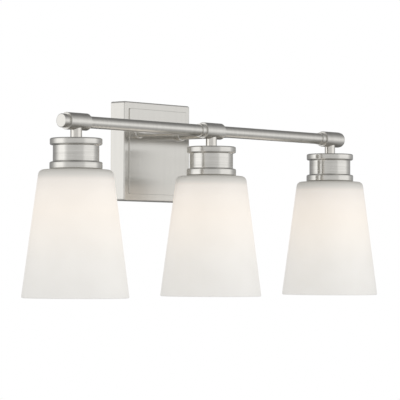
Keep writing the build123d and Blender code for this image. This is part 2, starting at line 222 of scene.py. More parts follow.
# Wall plate: a square pan pressed from steel sheet, with a raised field and deep side walls.
# It is nickel plated and brushed up and down with a fine belt, so its hairlines stand upright
# and smear reflections sideways while their level edges stay crisp.
def brushed_nickel(name, dark_hex, light_hex, hairs_run, smear_runs, roughness, smear, relief, hair_mm):
    """Brushed nickel: warm grey metal with hairlines that run one way and smear reflections across.
    Real hairlines are about 0.1 mm wide; they are drawn hair_mm wide, so that they just show.
    hairs_run marks the axes that a hairline follows, smear_runs is the way reflections spread."""
    hair_length_mm = 50.0
    streak_length_mm = 120.0
    streak_width_mm = 5.0
    gloss_change = 0.012
    hair_share = 0.6
    material, tree, output = new_material(name)
    place = add_node(tree, "ShaderNodeTexCoord").outputs["Object"]
    hair_place = add_node(tree, "ShaderNodeMapping", None, {
        "Vector": place,
        "Scale": [1000 / (hair_length_mm if run else hair_mm) for run in hairs_run]}).outputs[0]
    streak_place = add_node(tree, "ShaderNodeMapping", None, {
        "Vector": place,
        "Scale": [1000 / (streak_length_mm if run else streak_width_mm) for run in hairs_run]}).outputs[0]
    hair = add_node(tree, "ShaderNodeTexNoise", None, {
        "Vector": hair_place, "Scale": 1.0, "Detail": 2.0}).outputs["Fac"]
    streak = add_node(tree, "ShaderNodeTexNoise", None, {
        "Vector": streak_place, "Scale": 1.0, "Detail": 2.0}).outputs["Fac"]
    both = add_node(tree, "ShaderNodeMath", {"operation": "MULTIPLY_ADD"}, {
        0: hair, 1: hair_share, 2: streak}).outputs[0]
    rough = add_node(tree, "ShaderNodeMapRange", None, {
        "Value": both, "From Min": 0.5, "From Max": 1.1,
        "To Min": roughness - gloss_change, "To Max": roughness + gloss_change}).outputs[0]
    grooves = add_node(tree, "ShaderNodeBump", None, {
        "Height": hair, "Strength": relief, "Distance": 0.00002}).outputs[0]
    lay = add_node(tree, "ShaderNodeCombineXYZ", None, dict(enumerate(smear_runs))).outputs[0]
    tone = add_node(tree, "ShaderNodeValToRGB", {
        "stops": [(0.5, linear(dark_hex)), (1.0, linear(light_hex))]}, {"Fac": both}).outputs["Color"]
    metal = add_node(tree, "ShaderNodeBsdfPrincipled", None, {
        "Base Color": tone, "Metallic": 1.0, "Roughness": rough, "Anisotropic": smear,
        "Normal": grooves, "Tangent": lay})
    tree.links.new(metal.outputs[0], output.inputs["Surface"])
    return material


plate_nickel = brushed_nickel(
    "nickel_plate_brushed_upright", "#D2D0CB", "#D7D5D0", hairs_run=(0, 0, 1),
    smear_runs=(0.7071, 0.7071, 0.0), roughness=0.235, smear=1.0, relief=0.004, hair_mm=0.5)
dress(["wall_plate"], plate_nickel)


# Plate screws: two countersunk steel screws, nickel plated, with crossed driver recesses, set flush
# in the plate's top and bottom walls and threaded into the strap's bent ends.
def tree_with(name, inputs):
    """An empty Geometry Nodes tree with its geometry sockets and named inputs."""
    tree = bpy.data.node_groups.new(name, "GeometryNodeTree")
    tree.interface.new_socket("Geometry", in_out="INPUT", socket_type="NodeSocketGeometry")
    for label, kind in inputs:
        tree.interface.new_socket(label, in_out="INPUT", socket_type="NodeSocket" + kind)
    tree.interface.new_socket("Geometry", in_out="OUTPUT", socket_type="NodeSocketGeometry")
    given = add_node(tree, "NodeGroupInput").outputs
    result = add_node(tree, "NodeGroupOutput").inputs["Geometry"]
    return tree, given, result


def grown(name, tree, places, values):
    """Runs a tree on one point for each copy and returns its result as a plain mesh."""
    points = bpy.data.meshes.new(name)
    points.from_pydata([tuple(p) for p in places], [], [])
    holder = bpy.data.objects.new(name, points)
    bpy.context.scene.collection.objects.link(holder)
    modifier = holder.modifiers.new(name, "NODES")
    modifier.node_group = tree
    for item in tree.interface.items_tree:
        if item.in_out == "INPUT" and item.name in values:
            modifier[item.identifier] = values[item.name]
    mesh = bpy.data.meshes.new_from_object(holder.evaluated_get(bpy.context.evaluated_depsgraph_get()))
    mesh.name = name
    mesh.materials.clear()
    holder.modifiers.clear()
    bpy.data.objects.remove(holder)
    bpy.data.meshes.remove(points)
    return mesh


times = {"operation": "MULTIPLY"}
recess_reach = 1.15
core_share = 0.88
ridge_share = 0.12
screw_tree, given, result = tree_with("countersunk_screw", [
    ("Head Radius", "Float"), ("Shank Radius", "Float"), ("Head Height", "Float"), ("Length", "Float"),
    ("Recess Width", "Float"), ("Recess Depth", "Float"), ("Pitch", "Float"), ("Finish", "Material")])
head = add_node(screw_tree, "GeometryNodeMeshCone", None, {
    "Vertices": 40, "Side Segments": 2, "Radius Top": given["Head Radius"],
    "Radius Bottom": given["Shank Radius"], "Depth": given["Head Height"]}).outputs["Mesh"]
recess_length = add_node(screw_tree, "ShaderNodeMath", times, {
    0: given["Head Radius"], 1: recess_reach}).outputs[0]
recess_height = add_node(screw_tree, "ShaderNodeMath", times, {
    0: given["Recess Depth"], 1: 2.0}).outputs[0]
size_along = add_node(screw_tree, "ShaderNodeCombineXYZ", None, {
    0: recess_length, 1: given["Recess Width"], 2: recess_height}).outputs[0]
size_across = add_node(screw_tree, "ShaderNodeCombineXYZ", None, {
    0: given["Recess Width"], 1: recess_length, 2: recess_height}).outputs[0]
head_face = add_node(screw_tree, "ShaderNodeCombineXYZ", None, {2: given["Head Height"]}).outputs[0]
recess_along = add_node(screw_tree, "GeometryNodeTransform", None, {
    "Geometry": add_node(screw_tree, "GeometryNodeMeshCube", None, {"Size": size_along}).outputs["Mesh"],
    "Translation": head_face}).outputs[0]
recess_across = add_node(screw_tree, "GeometryNodeTransform", None, {
    "Geometry": add_node(screw_tree, "GeometryNodeMeshCube", None, {"Size": size_across}).outputs["Mesh"],
    "Translation": head_face}).outputs[0]
crossed = add_node(screw_tree, "GeometryNodeMeshBoolean", {"operation": "UNION", "solver": "EXACT"}, {
    "Mesh 2": recess_along})
screw_tree.links.new(recess_across, crossed.inputs["Mesh 2"])
recessed = add_node(screw_tree, "GeometryNodeMeshBoolean", {"operation": "DIFFERENCE", "solver": "EXACT"}, {
    "Mesh 1": head, "Mesh 2": crossed.outputs["Mesh"]}).outputs["Mesh"]
half_back = add_node(screw_tree, "ShaderNodeMath", times, {0: given["Length"], 1: -0.5}).outputs[0]
shank_at = add_node(screw_tree, "ShaderNodeCombineXYZ", None, {2: half_back}).outputs[0]
core = add_node(screw_tree, "ShaderNodeMath", times, {0: given["Shank Radius"], 1: core_share}).outputs[0]
shank = add_node(screw_tree, "GeometryNodeTransform", None, {
    "Geometry": add_node(screw_tree, "GeometryNodeMeshCylinder", None, {
        "Vertices": 32, "Radius": core, "Depth": given["Length"]}).outputs["Mesh"],
    "Translation": shank_at}).outputs[0]
ridge = add_node(screw_tree, "ShaderNodeMath", times, {0: given["Shank Radius"], 1: ridge_share}).outputs[0]
turns = add_node(screw_tree, "ShaderNodeMath", {"operation": "DIVIDE"}, {
    0: given["Length"], 1: given["Pitch"]}).outputs[0]
coil = add_node(screw_tree, "GeometryNodeCurveSpiral", None, {
    "Resolution": 24, "Rotations": turns, "Start Radius": core, "End Radius": core,
    "Height": given["Length"]}).outputs[0]
ridge_outline = add_node(screw_tree, "GeometryNodeCurvePrimitiveCircle", None, {
    "Resolution": 6, "Radius": ridge}).outputs["Curve"]
wire = add_node(screw_tree, "GeometryNodeCurveToMesh", None, {
    "Curve": coil, "Fill Caps": True, "Profile Curve": ridge_outline}).outputs[0]
whole_back = add_node(screw_tree, "ShaderNodeMath", times, {0: given["Length"], 1: -1.0}).outputs[0]
coil_at = add_node(screw_tree, "ShaderNodeCombineXYZ", None, {2: whole_back}).outputs[0]
thread = add_node(screw_tree, "GeometryNodeTransform", None, {
    "Geometry": wire, "Translation": coil_at}).outputs[0]
one_screw = add_node(screw_tree, "GeometryNodeJoinGeometry", None, {"Geometry": recessed})
screw_tree.links.new(shank, one_screw.inputs["Geometry"])
screw_tree.links.new(thread, one_screw.inputs["Geometry"])
# A screw placed under the middle is turned over, so that its head faces down
point_height = add_node(screw_tree, "ShaderNodeSeparateXYZ", None, {
    "Vector": add_node(screw_tree, "GeometryNodeInputPosition").outputs[0]}).outputs["Z"]
is_below = add_node(screw_tree, "ShaderNodeMath", {"operation": "LESS_THAN"}, {
    0: point_height, 1: 0.0}).outputs[0]
flip = add_node(screw_tree, "ShaderNodeMath", times, {0: is_below, 1: math.pi}).outputs[0]
facing = add_node(screw_tree, "FunctionNodeEulerToRotation", None, {
    0: add_node(screw_tree, "ShaderNodeCombineXYZ", None, {0: flip}).outputs[0]}).outputs[0]
points = add_node(screw_tree, "GeometryNodeMeshToPoints", None, {"Mesh": given["Geometry"]}).outputs[0]
placed = add_node(screw_tree, "GeometryNodeInstanceOnPoints", None, {
    "Points": points, "Instance": one_screw.outputs[0], "Rotation": facing}).outputs[0]
solid = add_node(screw_tree, "GeometryNodeRealizeInstances", None, {"Geometry": placed}).outputs[0]
finished = add_node(screw_tree, "GeometryNodeSetMaterial", None, {
    "Geometry": solid, "Material": given["Finish"]}).outputs[0]
screw_tree.links.new(finished, result)

screw_head_height = 0.0012
lock_low, lock_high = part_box("plate_lock_screws")
lock_x, lock_y = middle_of("plate_lock_screws")[:2]
screw_nickel = clouded_metal(
    "nickel_plated_screw", "#C4C1BA", "#DAD7D0", roughness=0.24, spread=0.05, cloud_mm=1.0)
lock_places = [
    (lock_x, lock_y, lock_high[2] - screw_head_height),
    (lock_x, lock_y, lock_low[2] + screw_head_height)]
lock_mesh = grown("plate_screws_crossed", screw_tree, lock_places, {
    "Head Radius": 0.0028, "Shank Radius": 0.0015, "Head Height": screw_head_height, "Length": 0.0038,
    "Recess Width": 0.0007, "Recess Depth": 0.0009, "Pitch": 0.0006, "Finish": screw_nickel})
lock_screws = mesh_piece("plate_screws_crossed", lock_mesh, screw_nickel)
belongs(lock_screws, "fixture", "zinc_steel", "plate_lock_screws")


# Arms, collars and arm nuts: two round steel tubes with a threaded end through the plate's field, each
# with a turned ring in front and a zinc nut behind. Arms and rings are brushed round on a lathe,
# so their hairlines run round and reflections smear along the arm.
SIDES = ("left", "right")
arm_nickel = brushed_nickel(
    "nickel_plate_brushed_round_arm", "#CECCC7", "#DAD8D3", hairs_run=(1, 0, 1),
    smear_runs=(0.0, 1.0, 0.0), roughness=0.24, smear=0.6, relief=0.012, hair_mm=0.6)
dress(["arm_" + side for side in SIDES], arm_nickel)
dress(["arm_collar_" + side for side in SIDES], arm_nickel)
dress(["arm_nut_" + side for side in SIDES], zinc_steel)

thread_tree, given, result = tree_with("thread_ridge", [
    ("Radius", "Float"), ("Ridge", "Float"), ("Pitch", "Float"), ("Turns", "Float"),
    ("Facing", "Vector"), ("Finish", "Material")])
rise = add_node(thread_tree, "ShaderNodeMath", times, {0: given["Pitch"], 1: given["Turns"]}).outputs[0]
coil = add_node(thread_tree, "GeometryNodeCurveSpiral", None, {
    "Resolution": 56, "Rotations": given["Turns"], "Start Radius": given["Radius"],
    "End Radius": given["Radius"], "Height": rise}).outputs[0]
ridge_outline = add_node(thread_tree, "GeometryNodeCurvePrimitiveCircle", None, {
    "Resolution": 10, "Radius": given["Ridge"]}).outputs["Curve"]
wire = add_node(thread_tree, "GeometryNodeCurveToMesh", None, {
    "Curve": coil, "Fill Caps": True, "Profile Curve": ridge_outline}).outputs[0]
points = add_node(thread_tree, "GeometryNodeMeshToPoints", None, {"Mesh": given["Geometry"]}).outputs[0]
facing = add_node(thread_tree, "FunctionNodeEulerToRotation", None, {0: given["Facing"]}).outputs[0]
placed = add_node(thread_tree, "GeometryNodeInstanceOnPoints", None, {
    "Points": points, "Instance": wire, "Rotation": facing}).outputs[0]
solid = add_node(thread_tree, "GeometryNodeRealizeInstances", None, {"Geometry": placed}).outputs[0]
finished = add_node(thread_tree, "GeometryNodeSetMaterial", None, {
    "Geometry": solid, "Material": given["Finish"]}).outputs[0]
thread_tree.links.new(finished, result)

arm_end_gap = 0.0002
arm_thread_places = []
for side in SIDES:
    arm_middle = middle_of("arm_" + side)
    arm_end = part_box("arm_" + side)[1][1]
    arm_thread_places.append((arm_middle[0], arm_end - arm_end_gap, arm_middle[2]))
arm_thread_mesh = grown("arm_threads", thread_tree, arm_thread_places, {
    "Radius": 0.0050, "Ridge": 0.0003, "Pitch": 0.0010, "Turns": 3.0,
    "Facing": (math.pi / 2, 0.0, 0.0), "Finish": zinc_steel})
arm_threads = mesh_piece("arm_threads", arm_thread_mesh, zinc_steel)
belongs(arm_threads, "fixture", "zinc_steel")


# Cross bar, sleeves and end caps: one thin steel tube, three turned sleeves with slim necks pushed over it
# and a cap pressed on each end. All are brushed round, so the long highlight is crisp across the tube.
LAMPS = ("left", "middle", "right")
bar_nickel = brushed_nickel(
    "nickel_plate_brushed_round_bar", "#D3D1CC", "#DEDCD7", hairs_run=(0, 1, 1),
    smear_runs=(1.0, 0.0, 0.0), roughness=0.29, smear=0.6, relief=0.012, hair_mm=0.6)
dress(["cross_bar"], bar_nickel)
dress(["bar_cap_" + side for side in SIDES], bar_nickel)
dress(["sleeve_" + lamp for lamp in LAMPS], bar_nickel)


# Stems and nipples: a short neck saddled on each sleeve, left bright from polishing under its nickel,
# round a plain zinc-plated threaded tube that ties the lamp together.
stem_nickel = clouded_metal(
    "nickel_plate_polished", "#D2CFC9", "#DCD9D3", roughness=0.11, spread=0.03, cloud_mm=2.0)
dress(["stem_" + lamp for lamp in LAMPS], stem_nickel)
dress(["nipple_" + lamp for lamp in LAMPS], zinc_steel)


# Shade cups and cup nuts: zinc castings turned and plated, with a rounded flange above and a rounded
# ring below. The turning lines run level round the cup, so reflections stand as upright bands.
cup_nickel = brushed_nickel(
    "nickel_plate_turned_cup", "#CBC9C4", "#DDDBD6", hairs_run=(1, 1, 0),
    smear_runs=(0.0, 0.0, 1.0), roughness=0.21, smear=0.75, relief=0.012, hair_mm=1.2)
dress(["cup_" + lamp for lamp in LAMPS], cup_nickel)
dress(["cup_nut_" + lamp for lamp in LAMPS], zinc_steel)


# Lamp holders: glazed white porcelain with a threaded skirt, screwed up onto the nipple in each cup.
# The glaze gives a clear gloss over a slightly warm, faintly mottled white.
def mottled_insulator(name, dark_hex, light_hex, roughness, mottle_mm):
    """An insulator with faint mottling of a real width."""
    material, tree, output = new_material(name)
    place = add_node(tree, "ShaderNodeTexCoord").outputs["Object"]
    mottle = add_node(tree, "ShaderNodeTexNoise", None, {
        "Vector": place, "Scale": 1000 / mottle_mm, "Detail": 3.0}).outputs["Fac"]
    waves = add_node(tree, "ShaderNodeBump", None, {
        "Height": mottle, "Strength": 0.1, "Distance": 0.0001}).outputs[0]
    tone = add_node(tree, "ShaderNodeValToRGB", {
        "stops": [(patch_low, linear(dark_hex)), (patch_high, linear(light_hex))]}, {
        "Fac": mottle}).outputs["Color"]
    body = add_node(tree, "ShaderNodeBsdfPrincipled", None, {
        "Base Color": tone, "Roughness": roughness, "IOR": 1.5, "Normal": waves})
    tree.links.new(body.outputs[0], output.inputs["Surface"])
    return material


porcelain = mottled_insulator("glazed_porcelain", "#E4E0D7", "#EFECE5", roughness=0.2, mottle_mm=3.0)
dress(["holder_" + lamp for lamp in LAMPS], porcelain)
upright = (0.0, 0.0, 0.0)
skirt_end_gap = 0.0007
skirt_places = []
for lamp in LAMPS:
    holder_x, holder_y = middle_of("holder_" + lamp)[:2]
    skirt_places.append((holder_x, holder_y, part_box("holder_" + lamp)[0][2] + skirt_end_gap))
skirt_thread_mesh = grown("holder_threads", thread_tree, skirt_places, {
    "Radius": 0.0190, "Ridge": 0.0005, "Pitch": 0.0018, "Turns": 2.0,
    "Facing": upright, "Finish": porcelain})
skirt_threads = mesh_piece("holder_threads", skirt_thread_mesh, porcelain)
belongs(skirt_threads, "fixture", "holder_body")


# Screw shells and middle contacts: brass, the shell rolled with the round thread that takes the bulb and
# pressed into the holder's well. It is bright where the bulb rubs and browned in patches.
brass = clouded_metal("drawn_brass", "#A98648", "#DCBD79", roughness=0.30, spread=0.10, cloud_mm=3.0)
dress(["screw_shell_" + lamp for lamp in LAMPS], brass)
dress(["contact_" + lamp for lamp in LAMPS], brass)
bulb_pitch = 0.00363
shell_end_gap = 0.0012
shell_places = []
for lamp in LAMPS:
    shell_x, shell_y = middle_of("screw_shell_" + lamp)[:2]
    shell_places.append((shell_x, shell_y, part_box("screw_shell_" + lamp)[0][2] + shell_end_gap))
shell_thread_mesh = grown("screw_shell_threads", thread_tree, shell_places, {
    "Radius": 0.0140, "Ridge": 0.0006, "Pitch": bulb_pitch, "Turns": 6.0,
    "Facing": upright, "Finish": brass})
shell_threads = mesh_piece("screw_shell_threads", shell_thread_mesh, brass)
belongs(shell_threads, "fixture", "brass_shell")


# Leads: twin wires in black sleeves, from each holder up the nipple, along the bar and out of an arm.
# Their ends behind the plate are stripped to twisted copper, ready for the wall box's wires.
def sleeve_plastic(name, dark_hex, light_hex):
    """Black PVC with a soft sheen and a trace of dust in patches about 2 mm wide."""
    dust_mm = 2.0
    material, tree, output = new_material(name)
    place = add_node(tree, "ShaderNodeTexCoord").outputs["Object"]
    dust = add_node(tree, "ShaderNodeTexNoise", None, {
        "Vector": place, "Scale": 1000 / dust_mm, "Detail": 3.0}).outputs["Fac"]
    tone = add_node(tree, "ShaderNodeValToRGB", {
        "stops": [(0.4, linear(dark_hex)), (0.75, linear(light_hex))]}, {"Fac": dust}).outputs["Color"]
    body = add_node(tree, "ShaderNodeBsdfPrincipled", None, {
        "Base Color": tone, "Roughness": 0.5, "IOR": 1.5})
    tree.links.new(body.outputs[0], output.inputs["Surface"])
    return material


black_pvc = sleeve_plastic("black_pvc_sleeve", "#1C1C1D", "#343436")
dress(["lead_wire_" + lamp for lamp in LAMPS], black_pvc)

strand_spread = 1.6
strand_tree, given, result = tree_with("twisted_strand", [
    ("Strand Radius", "Float"), ("Strands", "Int"), ("Length", "Float"), ("Turns", "Float"),
    ("Facing", "Vector"), ("Finish", "Material")])
lay_radius = add_node(strand_tree, "ShaderNodeMath", times, {
    0: given["Strand Radius"], 1: strand_spread}).outputs[0]
coil = add_node(strand_tree, "GeometryNodeCurveSpiral", None, {
    "Resolution": 24, "Rotations": given["Turns"], "Start Radius": lay_radius, "End Radius": lay_radius,
    "Height": given["Length"]}).outputs[0]
strand_outline = add_node(strand_tree, "GeometryNodeCurvePrimitiveCircle", None, {
    "Resolution": 8, "Radius": given["Strand Radius"]}).outputs["Curve"]
wire = add_node(strand_tree, "GeometryNodeCurveToMesh", None, {
    "Curve": coil, "Fill Caps": True, "Profile Curve": strand_outline}).outputs[0]
share = add_node(strand_tree, "ShaderNodeMath", {"operation": "DIVIDE"}, {
    0: 2 * math.pi, 1: given["Strands"]}).outputs[0]
number = add_node(strand_tree, "GeometryNodeInputIndex").outputs[0]
around = add_node(strand_tree, "ShaderNodeMath", times, {0: share, 1: number}).outputs[0]
spun = add_node(strand_tree, "FunctionNodeEulerToRotation", None, {
    0: add_node(strand_tree, "ShaderNodeCombineXYZ", None, {2: around}).outputs[0]}).outputs[0]
strand_points = add_node(strand_tree, "GeometryNodePoints", None, {"Count": given["Strands"]}).outputs[0]
bundle = add_node(strand_tree, "GeometryNodeInstanceOnPoints", None, {
    "Points": strand_points, "Instance": wire, "Rotation": spun}).outputs[0]
one_tail = add_node(strand_tree, "GeometryNodeRealizeInstances", None, {"Geometry": bundle}).outputs[0]
points = add_node(strand_tree, "GeometryNodeMeshToPoints", None, {"Mesh": given["Geometry"]}).outputs[0]
facing = add_node(strand_tree, "FunctionNodeEulerToRotation", None, {0: given["Facing"]}).outputs[0]
placed = add_node(strand_tree, "GeometryNodeInstanceOnPoints", None, {
    "Points": points, "Instance": one_tail, "Rotation": facing}).outputs[0]
solid = add_node(strand_tree, "GeometryNodeRealizeInstances", None, {"Geometry": placed}).outputs[0]
finished = add_node(strand_tree, "GeometryNodeSetMaterial", None, {
    "Geometry": solid, "Material": given["Finish"]}).outputs[0]
strand_tree.links.new(finished, result)

# The middle lamp's lead shares the left arm with the left lamp's, one above the other
lead_offset = 0.0018
wire_offset = 0.0006
tail_overlap = 0.0003
tail_places = []
for lamp in LAMPS:
    arm_middle = middle_of("arm_right" if lamp == "right" else "arm_left")
    lead_z = arm_middle[2] - lead_offset if lamp == "middle" else arm_middle[2] + lead_offset
    lead_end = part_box("lead_wire_" + lamp)[1][1] - tail_overlap
    tail_places.append((arm_middle[0] - wire_offset, lead_end, lead_z))
    tail_places.append((arm_middle[0] + wire_offset, lead_end, lead_z))
copper = clouded_metal("bare_copper", "#B4683C", "#DE9A6C", roughness=0.3, spread=0.08, cloud_mm=1.0)
tail_mesh = grown("lead_ends_bare", strand_tree, tail_places, {
    "Strand Radius": 0.0002, "Strands": 3, "Length": 0.0052, "Turns": 1.5,
    "Facing": (-math.pi / 2, 0.0, 0.0), "Finish": copper})
lead_tails = mesh_piece("lead_ends_bare", tail_mesh, copper)
belongs(lead_tails, "fixture", "lead_sleeve")


# Shades: blown opal glass with a flat top and rounded shoulder, acid etched outside to a satin skin, with
# a fire-polished mouth, held up by the ring inside. The bulb's light within is painted onto the glass as a
# glow
# by height: warm at the bulb's height, greyer towards the mouth, and greyer under the shoulder with painted
# shade.
def turned(name, profile, centre, steps):
    """A closed loop of (radius, height) points spun about an upright axis through centre."""
    shape = bmesh.new()
    rings = []
    for i in range(steps):
        angle = 2 * math.pi * i / steps
        rings.append([shape.verts.new((centre[0] + r * math.cos(angle), centre[1] + r * math.sin(angle), z))
                      for r, z in profile])
    count = len(profile)
    for i in range(steps):
        here, there = rings[i], rings[(i + 1) % steps]
        for j in range(count):
            k = (j + 1) % count
            if profile[j][0] > 1e-7 or profile[k][0] > 1e-7:
                shape.faces.new((here[j], there[j], there[k], here[k]))
    bmesh.ops.remove_doubles(shape, verts=shape.verts, dist=1e-7)
    bmesh.ops.dissolve_degenerate(shape, edges=shape.edges, dist=1e-8)
    bmesh.ops.recalc_face_normals(shape, faces=shape.faces)
    mesh = bpy.data.meshes.new(name)
    shape.to_mesh(mesh)
    shape.free()
    return mesh


def arc(centre, radius, start, end, steps):
    """Points of an arc in the (radius, height) plane, angles in degrees."""
    turn = [math.radians(start + (end - start) * i / steps) for i in range(steps + 1)]
    return [(centre[0] + radius * math.cos(a), centre[1] + radius * math.sin(a)) for a in turn]


def etched_opal(name, top, mouth):
    """Etched opal glass: milky white, satin, with a painted glow by height that stands in for the bulb's
    light inside.
    The etch's grit is about 0.05 mm; it is drawn 0.5 mm wide and faint, so that it just shows.
    The flat top and the shoulder, above the bulb, are painted a little greyer, as shade under the cup."""
    grit_mm = 0.5
    cloud_mm = 25.0
    shoulder_shade_start = 0.01
    shoulder_shade_end = 0.09
    # Share of the way from top to mouth, strength of the painted glow, and its colour
    painted_glow_stops = [
        (0.0, 0.0, "#EFE9DE"), (0.04, 0.03, "#F4E9DA"), (0.08, 0.19, "#FFE9D6"), (0.18, 0.27, "#FFEBD6"),
        (0.32, 0.30, "#FFEBD4"), (0.50, 0.27, "#FFF0DE"), (0.72, 0.21, "#FBF4EA"), (1.0, 0.16, "#F5F3EE")]
    painted_glow_colours = [
        (at, [c * light for c in linear(colour)[:3]] + [1.0]) for at, light, colour in painted_glow_stops]
    material, tree, output = new_material(name)
    place = add_node(tree, "ShaderNodeTexCoord").outputs["Object"]
    height = add_node(tree, "ShaderNodeSeparateXYZ", None, {"Vector": place}).outputs["Z"]
    depth = add_node(tree, "ShaderNodeMapRange", None, {
        "Value": height, "From Min": top, "From Max": mouth}).outputs[0]
    painted_glow = add_node(tree, "ShaderNodeValToRGB", {"stops": painted_glow_colours}, {"Fac": depth}).outputs["Color"]
    grit = add_node(tree, "ShaderNodeTexNoise", None, {
        "Vector": place, "Scale": 1000 / grit_mm, "Detail": 2.0}).outputs["Fac"]
    cloud = add_node(tree, "ShaderNodeTexNoise", None, {
        "Vector": place, "Scale": 1000 / cloud_mm, "Detail": 2.0}).outputs["Fac"]
    rough = add_node(tree, "ShaderNodeMapRange", None, {
        "Value": grit, "To Min": 0.50, "To Max": 0.62}).outputs[0]
    pits = add_node(tree, "ShaderNodeBump", None, {
        "Height": grit, "Strength": 0.05, "Distance": 0.00005}).outputs[0]
    milk = add_node(tree, "ShaderNodeValToRGB", {
        "stops": [(patch_low, linear("#ECEAE6")), (patch_high, linear("#F0EEEA"))]}, {
        "Fac": cloud}).outputs["Color"]
    # Painted shade: the top and shoulder are greyed towards #E0DDD6 where the cup shades them, fading out
    # below
    shoulder_shade_fade = add_node(tree, "ShaderNodeMapRange", None, {
        "Value": depth, "From Min": shoulder_shade_start, "From Max": shoulder_shade_end}).outputs[0]
    tone = add_node(tree, "ShaderNodeMix", {"data_type": "RGBA"}, {
        0: shoulder_shade_fade, 6: linear("#E0DDD6"), 7: milk}).outputs[2]
    # The emission is a painted glow: the glass is no lamp, the bulb's light through it is painted on
    glass = add_node(tree, "ShaderNodeBsdfPrincipled", None, {
        "Base Color": tone, "Roughness": rough, "IOR": 1.5,
        "Emission Color": painted_glow, "Emission Strength": 1.0, "Normal": pits})
    tree.links.new(glass.outputs[0], output.inputs["Surface"])
    return material


shoulder_radius = 0.0427
mouth_radius = 0.0622
glass_wall = 0.0030
shoulder_round = 0.0065
top_hole = 0.0205
shade_points = 144
bend_steps = 12
lip_steps = 12
inner_bend_steps = 8
shade_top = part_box("shade_middle")[1][2]
shade_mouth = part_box("shade_middle")[0][2]
lean = math.atan2(mouth_radius - shoulder_radius, shade_top - shade_mouth)
lean_degrees = math.degrees(lean)
wall_out = Vector((math.cos(lean), math.sin(lean)))
bend_radius = shoulder_radius - shoulder_round * math.tan(math.radians(45 - lean_degrees / 2))
bend = (bend_radius, shade_top - shoulder_round)
lip_round = glass_wall / 2
lip_radius = mouth_radius - lip_round * (1 + math.sin(lean)) * math.tan(lean)
lip_height = shade_mouth + lip_round + lip_round * math.sin(lean)
lip = Vector((lip_radius, lip_height)) - wall_out * lip_round
bell = [(top_hole, shade_top)]
bell += arc(bend, shoulder_round, 90, lean_degrees, bend_steps)
bell += arc(lip, lip_round, lean_degrees, lean_degrees - 180, lip_steps)
bell += arc(bend, shoulder_round - glass_wall, lean_degrees, 90, inner_bend_steps)
bell += [(top_hole, shade_top - glass_wall)]
opal_glass = etched_opal("opal_glass_etched", shade_top, shade_mouth)
for lamp in LAMPS:
    bell_mesh = turned("etched_shade_" + lamp, bell, middle_of("shade_" + lamp), shade_points)
    shade = mesh_piece("etched_shade_" + lamp, bell_mesh, opal_glass)
    belongs(shade, "fixture", "etched_glass", "shade_" + lamp)


# Shade rings: white thermoset, moulded with finger notches, run up the holder's skirt to clamp the glass.
# The moulding gives a satin surface, a little yellower than the porcelain.
thermoset = mottled_insulator(
    "moulded_white_thermoset", "#DDD8CC", "#E8E4DA", roughness=0.45, mottle_mm=2.0)
dress(["shade_ring_" + lamp for lamp in LAMPS], thermoset)


# Bulbs: a frosted glass globe cemented into a rolled aluminium screw cap, with a black glass insulator and
# a soldered tip, screwed up into the holder. They are lit, a warm white.
def lit_glass(name, neck, crown):
    """Frosted bulb glass that glows warm, most at its crown, with a faint powder grain about 1 mm wide."""
    powder_mm = 1.0
    powder_share = 0.2
    material, tree, output = new_material(name)
    place = add_node(tree, "ShaderNodeTexCoord").outputs["Object"]
    powder = add_node(tree, "ShaderNodeTexNoise", None, {
        "Vector": place, "Scale": 1000 / powder_mm, "Detail": 2.0}).outputs["Fac"]
    height = add_node(tree, "ShaderNodeSeparateXYZ", None, {"Vector": place}).outputs["Z"]
    nearness = add_node(tree, "ShaderNodeMapRange", None, {
        "Value": height, "From Min": neck, "From Max": crown}).outputs[0]
    grained = add_node(tree, "ShaderNodeMath", {"operation": "MULTIPLY_ADD"}, {
        0: powder, 1: powder_share, 2: nearness}).outputs[0]
    warm = add_node(tree, "ShaderNodeValToRGB", {
        "stops": [(0.1, linear("#D9B88C")), (0.6, linear("#EED2A8")), (1.0, linear("#FFF0D4"))]}, {
        "Fac": grained}).outputs["Color"]
    glass = add_node(tree, "ShaderNodeBsdfPrincipled", None, {
        "Base Color": linear("#E6DED2"), "Roughness": 0.4, "IOR": 1.5,
        "Emission Color": warm, "Emission Strength": 0.55})
    tree.links.new(glass.outputs[0], output.inputs["Surface"])
    return material


globe_low, globe_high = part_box("bulb_glass_middle")
bulb_light = lit_glass("frosted_glass_lit", globe_high[2], globe_low[2])
dress(["bulb_glass_" + lamp for lamp in LAMPS], bulb_light)
cap_metal = clouded_metal(
    "rolled_aluminium", "#BDBDBB", "#D6D6D3", roughness=0.3, spread=0.08, cloud_mm=2.0)
solder = clouded_metal("tin_solder", "#A7A8A6", "#C6C6C2", roughness=0.34, spread=0.08, cloud_mm=1.0)
black_glass = mottled_insulator(
    "black_insulator_glass", "#101012", "#1C1C20", roughness=0.15, mottle_mm=2.0)
tip_height = 0.0016
tip_radius = 0.0046
tip_round = 0.0008
insulator_height = 0.0032
insulator_radius = 0.0105
insulator_top_radius = 0.0050
insulator_waist_radius = 0.0088
insulator_foot = 0.0008
cap_radius = 0.0125
cap_round = 0.0012
bead_radius = 0.0006
bead_height = 0.0016
cap_thread_gap = 0.0036
cap_thread_ridge = 0.0006
cap_thread_turns = 4.0
cap_points = 64
tip_points = 40
insulator_points = 48
round_steps = 5
